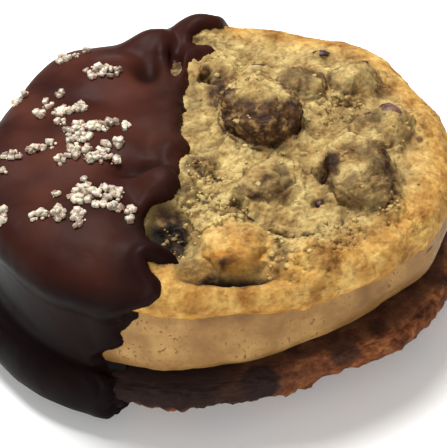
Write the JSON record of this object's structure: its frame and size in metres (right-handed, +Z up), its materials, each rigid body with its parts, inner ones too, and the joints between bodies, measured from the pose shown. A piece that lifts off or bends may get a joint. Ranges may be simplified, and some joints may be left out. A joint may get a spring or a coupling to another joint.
{
  "type": "half-dipped cookie ice cream sandwich",
  "caption": "Round sandwich of lumpy chip cookies around a thick ice cream disc, the left part dipped in dark chocolate and sprinkled with coarse salt.",
  "frame": {"origin": "middle of the flat spot that the lower cookie rests on", "axes": "+Z up, -X towards the middle of the dipped side, -Y towards the front edge, where the ice cream shows most"},
  "size_m": [0.094, 0.0869, 0.0405],
  "materials": {
    "dough": "matte, crumbly",
    "baked": "matte, well baked",
    "ice": "satin, frozen",
    "chocolate": "satin, with salt grains"
  },
  "bodies": {
    "root": {"top_cookie": "dough", "ice_cream": "ice", "bottom_cookie": "baked", "chocolate_dip": "chocolate"}
  },
  "joints": []
}
